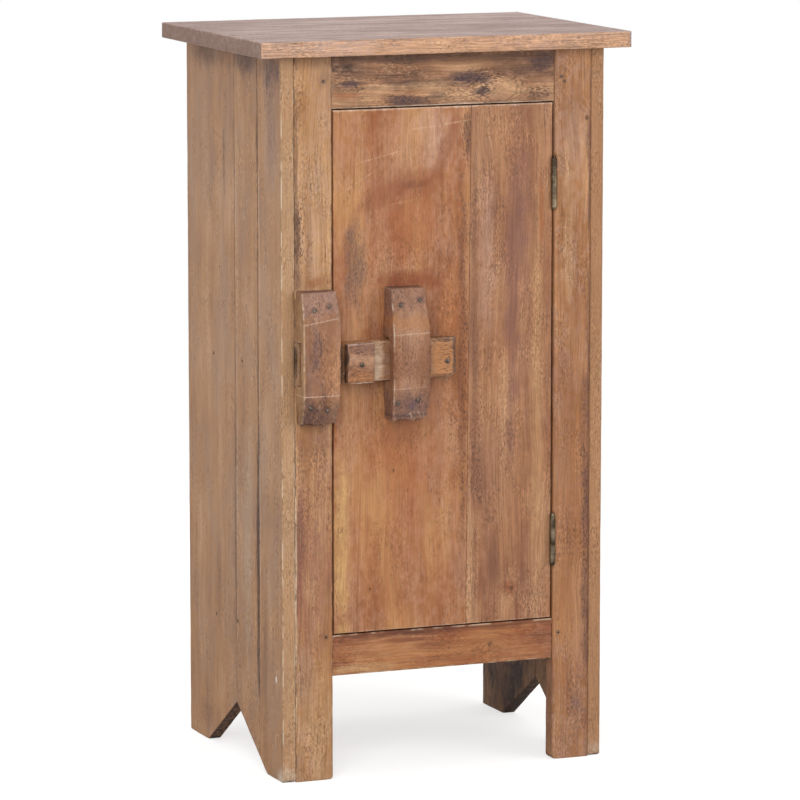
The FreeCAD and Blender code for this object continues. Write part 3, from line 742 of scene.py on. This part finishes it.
def sides():
    """Upright boards, each with its share of the notch between the feet."""
    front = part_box("left_side_front_board")[0].y / MM
    joints = [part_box(f"left_side_{name}_board")[1].y / MM for name in ("front", "middle")]
    shared = [mark for joint, dirt in zip(joints, JOINT_DIRT) for mark in (
        (joint, 400, 3.5, 650, "#6b4c3a", 0.7 * dirt), (joint - 4, 560, 2, 110, "#d6bda8", 0.7),
        (joint + 3, 200, 4, 130, "#553c2f", 0.75 * dirt),
        (joint + 2, 640, 5, 40, "#553c30", 0.8 * dirt),
        (joint - 2, 330, 5, 60, "#4d382c", 0.8 * dirt), (joint - 4, 300, 2, 150, "#cdb49e", 0.6))]
    shared += [
        # The first four marks, high up under the overhang of the top, are stain with painted shadow
        (-98, 722, 38, 30, "#564549", 0.85), (-98, 670, 24, 90, "#8a6a5c", 0.5),
        (-20, 728, 46, 22, "#604640", 0.8), (84, 728, 80, 24, "#6f5143", 0.75),
        (60, 180, 12, 90, "#7b5744", 0.4), (100, 560, 16, 120, "#c29a78", 0.5),
        (40, 620, 5, 60, "#70503f", 0.5), (-27, 230, 22, 170, "#bfa188", 0.65),
        (-56, 210, 6, 190, "#4d382c", 0.85), (-76, 120, 9, 130, "#8d6a4d", 0.5),
        (-124, 4, 15, 14, "#e0cfbb", 1.0), (-108, 104, 3, 5, "#f0e8dd", 1.0),
        (-124, 40, 4, 22, "#7b5f50", 0.8), (96, 30, 40, 26, "#7c5848", 0.5),
        *stroke((44, 642), (74, 646), 1.2, "#6f5142", 0.6, 2),
        *stroke((90, 470), (104, 462), 1.2, "#6f5142", 0.5)]
    grit = [mark for joint, dirt in zip(joints, JOINT_DIRT) for mark in (
        (joint + 1, 250, 6, 240, "#4a3529", 0.7 * dirt), (joint, 600, 4, 120, "#55402f", 0.6 * dirt))]
    grit += [
        # The grit at 712, under the overhang of the top, is stain with painted shadow
        (front, 370, 5, 1200, "#80603f", 0.2), (-100, 712, 28, 34, "#4f3f41", 0.5),
        (-110, 330, 8, 300, "#7d5f49", 0.5)]
    # Painted shade low on the right side towards the back, where the inside between the feet lies in shade
    under_case_shade = [(95, 45, 120, 85, "#46322a", 0.95), (80, 18, 26, 26, "#2b1d18", 0.8)]
    arrises = {(side, name): ("#5d412f", 0.6) for side in ("left", "right") for name in ("middle", "rear")}
    arrises["left", "front"], arrises["right", "front"] = ("#e4d0b6", 0.9), ("#8f6040", 0.4)
    roughness = {"front": 0.36, "middle": 0.4, "rear": 0.2}
    for side, seed in (("left", 3.0), ("right", 57.0)):
        edge = (front, 370, 6, 1200, "#b08a66" if side == "left" else "#a2744f", 0.9)
        for name, shift in (("front", 0), ("middle", 7.9), ("rear", 15.2)):
            node = f"{side}_side_{name}_board"
            depths, heights = lower_edge(node)
            bottom, top = (corner.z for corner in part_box(node))

            def foot(points):
                rise = np.interp(points[:, 1], depths, heights) - bottom
                points[:, 2] += rise * (top - points[:, 2]) / (top - bottom)
                if name == "front":
                    round_off(points, [1, 2], (front * MM, bottom), (1, 1), SIDE_CORNER)
            nails = SIDE_NAILS.get(name, [])
            # The near-black sawn ends are dark end grain and also painted shade on the downward faces of the
            # notch
            wood = teak(
                f"dulled_teak_{side}_{name}", "Y", "Z", SIDE_TONES, seed + shift, nails=ringed(nails, 3.5),
                film=("#a28675", 0.5), ends=("#3f2b20", 0.95), streaks=0.2 * roughness[name],
                specks=roughness[name], worn=arrises[side, name], grit=grit,
                marks=[*shared, edge, *(under_case_shade if side == "right" else [])])
            board(node, wood, joints="Y", round_edge=1.0 if name == "front" else 0.5, wear=1.1, reshape=foot)
            if nails:
                look = (1, 0, 0) if side == "left" else (-1, 0, 0)
                fasten(f"{side}_{name}_nails", node, nails, look, radius=1.3)


LEFT_STILE_NAILS = [(-130.2, 712), (-128.7, 148)]
RIGHT_STILE_NAILS = [(128.9, 709), (132.2, 704), (128.1, 134)]


def front_frame():
    """Stiles and rails of the front."""
    left = teak(
        "honey_teak_left_stile", "X", "Z", HONEY_TONES, 21.0, worn=GRIME, specks=0.34, streaks=0.2,
        nails=ringed(LEFT_STILE_NAILS, 3.5),
        marks=[
            (-159, 555, 5, 70, "#5a3c30", 0.95), (-160, 640, 3, 60, "#6f4c3a", 0.7),
            # The two dark marks at 430 are painted shade in the slot between keeper and stile
            (-161, 430, 3, 27, "#2a1d16", 0.95), (-148, 430, 16, 25, "#35261b", 0.9),
            (-142, 240, 60, 165, "#955f45", 0.8), (-136, 50, 22, 70, "#bd9468", 0.5),
            # The mark at (-140, 350) is painted shadow below the keeper, with stain
            (-157, 240, 7, 80, "#70423a", 0.6), (-140, 350, 30, 24, "#7a5240", 0.5),
            # The mark at 731 is painted shade under the overhang of the top
            (-142, 731, 40, 12, "#7a573c", 0.7), (-138, 511, 22, 8, "#92552f", 0.7),
            (-131, 715, 12, 14, "#7d5a3f", 0.6), (-161.5, 210, 1.6, 190, "#e0c8ac", 0.85)],
        grit=[
            (-157, 560, 7, 60, "#4d352b", 0.85), (-150, 545, 12, 40, "#6a4a35", 0.6),
            # The grit at (-140, 330) is painted shadow below the keeper, with stain
            (-155, 680, 9, 70, "#7d5c3e", 0.6), (-140, 330, 26, 30, "#5f4233", 0.5),
            (-150, 250, 16, 60, "#6a4436", 0.5)])
    right = teak(
        "tan_teak_right_stile", "X", "Z", TAN_TONES, 33.0, knots=[((157, 666), 3.2, 0.12, 0.85)],
        worn=("#8f6040", 0.4), specks=0.4, streaks=0.2, nails=ringed(RIGHT_STILE_NAILS, 3.5),
        marks=[
            (142, 250, 60, 300, "#955d3a", 0.6), (158, 240, 6, 220, "#644338", 0.7),
            (161, 400, 2.5, 500, "#5f3f31", 0.8), (150, 55, 9, 12, "#7c5c55", 0.6),
            (160, 640, 5, 40, "#6f4433", 0.6), (138, 560, 9, 110, "#bd946c", 0.5)],
        grit=[(158, 250, 7, 240, "#4f352b", 0.7), (148, 60, 16, 60, "#5f4439", 0.5)])
    inner_left, inner_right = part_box("left_stile")[1].x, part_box("right_stile")[0].x

    def left_foot(points):
        round_off(points, [0, 2], (inner_left, 0), (-1, 1), STILE_CORNER)

    def right_foot(points):
        round_off(points, [0, 2], (inner_right, 0), (1, 1), STILE_CORNER)
    board("left_stile", left, round_edge=0.6, wear=0.9, reshape=left_foot)
    board("right_stile", right, round_edge=0.4, wear=0.6, reshape=right_foot, hinge_leaf="frame")
    top = teak(
        "brown_teak_top_rail", "Z", "X", RAIL_TONES, 41.0, knots=[((702, 58), 4.6, 0.55, 0.0)], specks=0.7,
        streaks=0.3, lines=0.6, film=("#b18a6d", 0.5), worn=("#d9bfa8", 0.85),
        marks=[
            (702, 70, 13, 24, "#bd936c", 0.75), (711, 30, 8, 30, "#47353a", 0.95),
            (697, 42, 6, 13, "#453336", 0.95), (726, 106, 13, 22, "#463234", 0.98),
            (690, -45, 6, 34, "#46343a", 0.95), (709, -100, 5, 17, "#4d3b40", 0.9),
            # The mark at 731 along the whole rail is painted shadow under the overhang of the top
            (694, -8, 4, 14, "#463438", 0.8), (731, 0, 6, 200, "#543b2e", 0.75),
            (704, -30, 5, 60, "#c7a07a", 0.6), (697, -105, 5, 16, "#9c5c3a", 0.6),
            (690, 105, 7, 22, "#6a4a38", 0.6), (684, 0, 1.8, 160, "#dfc6b1", 0.95)],
        grit=[
            (711, 34, 10, 34, "#3a2a2c", 0.8), (697, 44, 8, 18, "#3a2a2c", 0.8),
            (724, 107, 13, 20, "#3d2c2c", 0.9), (690, -45, 8, 42, "#3d2d31", 0.9),
            (706, -98, 9, 22, "#43332f", 0.9), (694, 105, 10, 20, "#53392e", 0.7)])
    bottom = teak(
        "red_teak_bottom_rail", "Z", "X", FOOT_RAIL_TONES, 47.0, knots=[((127, 52), 3.4, 0.18, 0.6)],
        specks=0.3, lines=0.6, streaks=0.2, film=("#a8846a", 0.25),
        marks=[
            (147, 0, 6, 200, "#5c2f1c", 0.9), (138, -40, 4, 70, "#7b4126", 0.7),
            (113, -85, 6, 60, "#bd9468", 0.7), (132, 20, 5, 70, "#773f24", 0.6)])
    for node, wood in (("top_rail", top), ("bottom_rail", bottom)):
        low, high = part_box(node)
        low.x, high.x = inner_left, inner_right
        board(node, wood, box=(low, high), round_edge=0.3, wear=0.5)
    fasten("left_stile_nails", "left_stile", LEFT_STILE_NAILS, (0, 1, 0), radius=1.4)
    fasten("right_stile_nails", "right_stile", RIGHT_STILE_NAILS, (0, 1, 0), radius=1.1)


END_ZONE = 3 * MM


def door():
    """Two planks that meet at a leaning joint; the wide one has a dark arch across its upper half."""
    points = corner_points("door_wide_plank")
    low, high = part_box("door_wide_plank")
    foot = points[points[:, 2] < low.z + END_ZONE][:, 0].max()
    head = points[points[:, 2] > high.z - END_ZONE][:, 0].max()
    rims = [(0, high.z / MM, 300, 2.5, "#dcbca4", 0.8), (0, low.z / MM, 300, 2, "#c79f84", 0.7)]
    arch = [
        *stroke((-106, 532), (-93, 584), 8, "#7d4c38", 0.55),
        *stroke((-95, 580), (-60, 601), 14, "#8a4d2d", 0.5),
        *stroke((-68, 602), (-4, 611), 17, "#854726", 0.52),
        *stroke((-46, 603), (-10, 609), 6, "#703b25", 0.5),
        *stroke((-12, 606), (14, 670), 11, "#86492b", 0.6)]
    scratches = [
        *stroke((-112, 598), (-72, 622), 1.3, "#d8ac8a", 0.36, 2),
        *stroke((-96, 628), (-44, 640), 1.2, "#d2a685", 0.36, 2),
        *stroke((-38, 660), (20, 667), 1.4, "#dab599", 0.36, 2),
        *stroke((-60, 585), (-30, 590), 1.2, "#c98f63", 0.4)]
    wide = teak(
        "orange_teak_wide_plank", "X", "Z", DOOR_TONES, 63.0, film=("#b08670", 0.4), worn=GRIME, specks=0.2,
        streaks=0.12, lines=0.3,
        knots=[((-54.5, 314.5), 1.8, 0.0, 0.8), ((-80.5, 194), 1.8, 0.0, 0.8)],
        marks=[
            *rims, (-42, 560, 44, 50, "#9f5a2f", 0.6), (-10, 652, 24, 44, "#c6a08b", 0.7), *arch,
            (-111, 235, 12, 150, "#c59862", 0.85), *stroke((-95, 153), (-91, 300), 1.6, "#80502d", 0.6, 3),
            (-34, 508, 50, 14, "#83401f", 0.9), (-95, 524, 20, 54, "#75584a", 0.8),
            # The mark at (-45, 352) is painted shadow below the guide, with stain
            (-45, 330, 46, 150, "#a25e33", 0.45), (-45, 352, 34, 20, "#7e4c31", 0.6),
            (21, 420, 7, 260, "#6d422b", 0.7), (27, 655, 6, 34, "#59392c", 0.7),
            (-30, 455, 60, 45, "#8c4f2b", 0.2), (4, 470, 12, 50, "#bd7c4a", 0.5), *scratches],
        grit=[
            (22, 420, 9, 250, "#583627", 0.7), (6, 430, 14, 110, "#6b4430", 0.5),
            (-95, 524, 22, 60, "#5a4035", 0.5), (26, 655, 9, 40, "#4d3127", 0.7),
            (-40, 520, 60, 60, "#7c4a2f", 0.4), (12, 345, 10, 50, "#6b4630", 0.5)])
    narrow = teak(
        "pink_teak_narrow_plank", "X", "Z", PINK_TONES, 71.0, knots=[((76, 184), 3.2, 0.12, 0.8)],
        worn=GRIME, film=("#9b7560", 0.3), streaks=0.2, lines=0.42,
        marks=[
            *rims, (76, 470, 11, 250, "#7d5247", 0.75), (56, 210, 14, 46, "#6f4733", 0.6),
            (34, 400, 5, 330, "#6f4733", 0.5), (104, 380, 9, 330, "#b68a60", 0.6),
            (86, 580, 13, 100, "#7b5347", 0.8), (107, 565, 5, 60, "#935026", 0.7),
            (48, 540, 12, 120, "#b18a74", 0.6), (74, 184, 14, 12, "#7a3d24", 0.85),
            (40, 190, 6, 40, "#7d4a30", 0.6), (70, 206, 5, 26, "#6d3c29", 0.7),
            (82, 164, 4, 22, "#6d3c29", 0.7), (88, 200, 3, 24, "#744530", 0.6)],
        grit=[
            (36, 400, 8, 240, "#5d3b2c", 0.4), (64, 560, 22, 120, "#6e4a39", 0.25),
            (40, 300, 8, 60, "#54362a", 0.6), (98, 165, 12, 18, "#5f3c2b", 0.5)])

    def joint_at(heights):
        return np.interp(heights, (low.z, high.z), (foot, head))

    def lean_wide(points):
        points[:, 0] = low.x + (points[:, 0] - low.x) * (joint_at(points[:, 2]) - low.x) / (high.x - low.x)
    board("door_wide_plank", wide, joints="X", round_edge=0.25, wear=0.5, reshape=lean_wide)
    narrow_low, narrow_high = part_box("door_narrow_plank")

    def lean_narrow(points):
        share = (narrow_high.x - points[:, 0]) / (narrow_high.x - narrow_low.x)
        points[:, 0] = narrow_high.x - share * (narrow_high.x - joint_at(points[:, 2]))
    board("door_narrow_plank", narrow, joints="X", round_edge=0.25, wear=0.5, reshape=lean_narrow,
          hinge_leaf="door")


BACK_NAIL_INSET = 22
# Above the lower end, over the floor into the shelf, and below the upper end
BACK_NAIL_HEIGHTS = (15, 412, 20)
BATTEN_SCREW_INSETS = (18, 14)


def inside():
    """Back, shelf, floor, battens and strips, of plainer wood, with the nails and screws that hold them."""
    upright = teak("bare_teak_upright", "X", "Z", INNER_TONES, 83.0)
    level = teak("bare_teak_level", "Y", "X", INNER_TONES, 89.0)
    cross = teak("bare_teak_cross", "Z", "X", INNER_TONES, 97.0)
    deep = teak("bare_teak_deep", "X", "Y", INNER_TONES, 101.0)
    for name in ("left", "middle", "right"):
        node = f"back_{name}_board"
        board(node, upright, joints="X")
        low, high = (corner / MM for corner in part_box(node))
        foot, shelf, head = BACK_NAIL_HEIGHTS
        places = [(across, up) for across in np.linspace(low.x + BACK_NAIL_INSET, high.x - BACK_NAIL_INSET, 2)
                  for up in (low.z + foot, shelf, high.z - head)]
        fasten(f"{name}_back_nails", node, places, (0, -1, 0), radius=2.0)
    for name in ("floor_front", "floor_rear", "shelf_front", "shelf_rear"):
        board(f"{name}_board", level, joints="Y")
    for node in ("upper_back_rail", "lower_back_rail", "door_stop"):
        board(node, cross)
    for node in ("left_top_cleat", "right_top_cleat"):
        board(node, deep)
    for node in ("upper_door_batten", "lower_door_batten"):
        board(node, cross, round_edge=2.5)
        low, high = (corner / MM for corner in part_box(node))
        aside, inward = BATTEN_SCREW_INSETS
        places = [(across, up) for across in np.linspace(low.x + aside, high.x - aside, 4)
                  for up in (low.z + inward, high.z - inward)]
        fasten(f"{node}_screws", node, places, (0, -1, 0), SCREW_HEADS, 3.2)


KEEPER_NAILS = [(-148.9, 485.6), (-132.8, 488.6), (-153.1, 387.2), (-135.2, 383.5)]
GUIDE_NAILS = [(-55.8, 486.6), (-34.5, 490.5), (-60.7, 387.6), (-39.0, 389.9)]
BLOCK_NAILS = [(-99.9, 428.8)]
BAR_NAILS = [(-2.3, 426)]
TOOTH_SIZE, TOOTH_DEPTH, TEETH_REACH = 2.3 * MM, 1.1 * MM, 9 * MM
TEETH_SHIFT, TEETH_SWAY = 1.7, (5.1 * MM, 4 * MM)


def latch():
    """Bowed keeper and guide, the bolt and its stop block."""
    # Pale arrises of keeper, guide and bolt: wear, and painted highlight on those that face the light from
    # the left
    whitened_and_lit = ("#dfc9b6", 0.8)
    bare, dark_end = "#dcc2ac", "#3d2a21"
    keeper = teak(
        "dark_teak_keeper", "X", "Z", LATCH_TONES, 111.0, film=GREY_FILM, worn=whitened_and_lit, specks=0.45,
        pits=0.3, nails=ringed(KEEPER_NAILS, 5.5),
        marks=[
            (-142, 374, 60, 28, "#553c38", 0.95), (-142, 494, 60, 22, "#9d7a6c", 0.7),
            (-147, 450, 7, 32, "#5c4344", 0.8), (-130, 425, 14, 34, "#b07b53", 0.75),
            (-162, 435, 3, 300, "#b08860", 0.9), (-142, 505, 60, 3, dark_end, 0.9),
            *stroke((-162, 399), (-122, 399), 1.0, bare, 0.6, 7),
            *stroke((-162, 471), (-122, 477), 1.0, bare, 0.55, 7)],
        grit=[
            (-142, 490, 60, 20, "#5d443f", 0.5), (-146, 440, 12, 40, "#4b3534", 0.45),
            (-142, 380, 60, 22, "#3b2926", 0.5)])
    guide = teak(
        "dark_teak_guide", "X", "Z", LATCH_TONES, 123.0, film=GREY_FILM, worn=whitened_and_lit, specks=0.4, pits=0.3,
        nails=ringed(GUIDE_NAILS, 5.5),
        marks=[
            (-46, 382, 60, 24, "#79584c", 0.85), (-46, 495, 60, 24, "#84604f", 0.8),
            (-46, 468, 60, 10, "#a56e43", 0.8), (-46, 430, 60, 30, "#77492f", 0.6),
            (-46, 505, 60, 3, dark_end, 0.9), (-44, 384, 8, 8, "#5d4a52", 0.7),
            *stroke((-66, 457), (-27, 458), 1.0, bare, 0.55, 6),
            *stroke((-66, 402), (-30, 403), 1.0, bare, 0.35, 6), (-46, 374, 40, 3, "#4f3a33", 0.7)],
        grit=[
            (-46, 492, 60, 20, "#5b3f38", 0.5), (-46, 430, 60, 30, "#5e3a29", 0.3),
            (-46, 382, 60, 18, "#43302e", 0.45), (-40, 374, 14, 5, "#cbb09a", 0.7)])
    bar = teak(
        "pale_teak_bolt", "Z", "X", TAN_TONES, 131.0, worn=whitened_and_lit, specks=0.4, pits=0.25,
        nails=ringed(turned_round(BAR_NAILS), 5.5),
        marks=[
            (430, -79, 60, 9, "#d0b599", 0.9), (430, -69, 60, 5, "#7c5c4a", 0.6),
            (430, -8, 60, 20, "#b37846", 0.75), (450, -6, 6, 22, "#5d4236", 0.6),
            (430, 6, 60, 4, "#4a332a", 0.95), (430, -23, 60, 4, "#6d4a36", 0.7),
            # The mark at -119 is painted shadow on the bar's tip, in the gap between keeper and block
            (411, -5, 4, 22, "#6a4633", 0.7), (430, -119, 60, 6, "#3a2a22", 0.95)],
        grit=[(430, -2, 60, 12, "#5e3c28", 0.7), (448, -6, 8, 24, "#5a3a2c", 0.7)])
    block = teak(
        "brown_teak_stop_block", "Z", "X", LATCH_TONES, 139.0, worn=("#cdb29d", 0.6), specks=0.45, pits=0.3,
        nails=ringed(turned_round(BLOCK_NAILS), 5.5),
        marks=[
            (446, -100, 16, 40, "#7d574a", 0.85), (413, -100, 14, 40, "#a0673c", 0.8),
            # The doubled dark mark at -117 is painted shadow on the block's left face, in the gap beside the
            # keeper
            *2 * [(430, -117, 60, 4, "#241915", 0.98)], (410, -99, 1.8, 22, "#e6d2bf", 0.95),
            (450, -99, 1.5, 22, "#cbb3a3", 0.7)],
        grit=[(444, -100, 12, 30, "#573a33", 0.7), (420, -108, 16, 10, "#573a2d", 0.6)])
    low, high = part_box("bolt_guide")

    def ragged_foot(points):
        near = np.clip(1 - (points[:, 2] - points[:, 2].min()) / TEETH_REACH, 0, 1)
        shift = np.sin(points[:, 0] / TEETH_SWAY[0] + points[:, 1] / TEETH_SWAY[1])
        teeth = np.sin(points[:, 0] / TOOTH_SIZE + TEETH_SHIFT * shift)
        points[:, 2] += near * (1 + teeth) * TOOTH_DEPTH

    def broken_foot(points):
        round_off(points, [0, 2], (high.x, low.z), (-1, 1), GUIDE_CORNER)
        ragged_foot(points)
    worn_copy("bolt_keeper", keeper, reshape=ragged_foot)
    worn_copy("bolt_guide", guide, reshape=broken_foot)
    worn_copy("bolt_bar", bar)
    worn_copy("bolt_stop_block", block, voxel=0.8)
    for name, node, places in (
            ("keeper_nails", "bolt_keeper", KEEPER_NAILS), ("guide_nails", "bolt_guide", GUIDE_NAILS),
            ("block_nail", "bolt_stop_block", BLOCK_NAILS), ("bar_nail", "bolt_bar", BAR_NAILS)):
        fasten(name, node, places, (0, 1, 0), radius=2.2)


def hinges():
    """Dark brass on the hinges."""
    for node, piece in frame["nodes"].items():
        if "hinge" in node:
            for slot in piece.material_slots:
                slot.material = DARK_BRASS


# Studio: name, place, width and power of each lamp

LAMPS = (("key", (-1.6, -2.8, 1.7), 1.8, 58), ("fill", (2.2, -2.4, 1.2), 2.0, 32),
         ("over", (0.0, 0.4, 2.6), 1.6, 4), ("behind", (1.2, 3.0, 0.45), 2.0, 26))


def studio():
    """White world to the eye, softer as light; pale floor that keeps the shadow; large soft lamps."""
    world = bpy.data.worlds.new("white_studio")
    bpy.context.scene.world = world
    tree = bare_tree(world)
    rays = add(tree, "LightPath").outputs
    seen = number(tree, "MAXIMUM", rays["Is Camera Ray"], rays["Is Glossy Ray"])
    seen = number(tree, "MAXIMUM", seen, rays["Is Transmission Ray"])
    strength = slope(tree, seen, 0, 1, 1.0, least=0.55)
    light = add(tree, "Background", {"Color": (1, 1, 1, 1), "Strength": strength})
    add(tree, "OutputWorld", {"Surface": light})

    disc = bmesh.new()
    bmesh.ops.create_circle(disc, cap_ends=True, segments=96, radius=1.5)
    floor = piece_of("floor", disc)
    paper = bpy.data.materials.new("white_paper_floor")
    tree = bare_tree(paper)
    matt = add(tree, "BsdfDiffuse", {"Color": (0.62, 0.62, 0.62, 1)})
    glow = add(tree, "Emission", {"Color": (1, 1, 1, 1), "Strength": 0.62})
    both = add(tree, "AddShader", {0: matt, 1: glow})
    rays = add(tree, "LightPath").outputs
    shown = add(tree, "MixShader", {0: rays["Is Camera Ray"], 1: matt, 2: both})
    add(tree, "OutputMaterial", {"Surface": shown})
    floor.data.materials.append(paper)

    middle = Vector((0, 0, 0.4))
    for name, place, size, power in LAMPS:
        lamp = bpy.data.lights.new(name, "AREA")
        lamp.size = size
        lamp.energy = power
        holder = new_piece(name, lamp)
        holder.location = place
        holder.rotation_euler = (middle - Vector(place)).to_track_quat("-Z", "Y").to_euler()
    bpy.context.scene.view_settings.view_transform = "Standard"


EYE = (-1.86544, -4.63598, 1.12798)
PITCH_DOWN, TURN_RIGHT = 8.67, 21.95
SENSOR_WIDTH, FOCAL_LENGTH = 36, 218.7


def camera():
    """Long lens, front left and a little above, as in the photograph."""
    lens = bpy.data.cameras.new("camera")
    lens.sensor_width = SENSOR_WIDTH
    lens.lens = FOCAL_LENGTH
    lens.clip_end = 100
    eye = new_piece("camera", lens)
    eye.location = EYE
    eye.rotation_euler = (math.radians(90 - PITCH_DOWN), 0, math.radians(-TURN_RIGHT))
    bpy.context.scene.camera = eye


table_top()
sides()
front_frame()
door()
inside()
latch()
hinges()
studio()
camera()
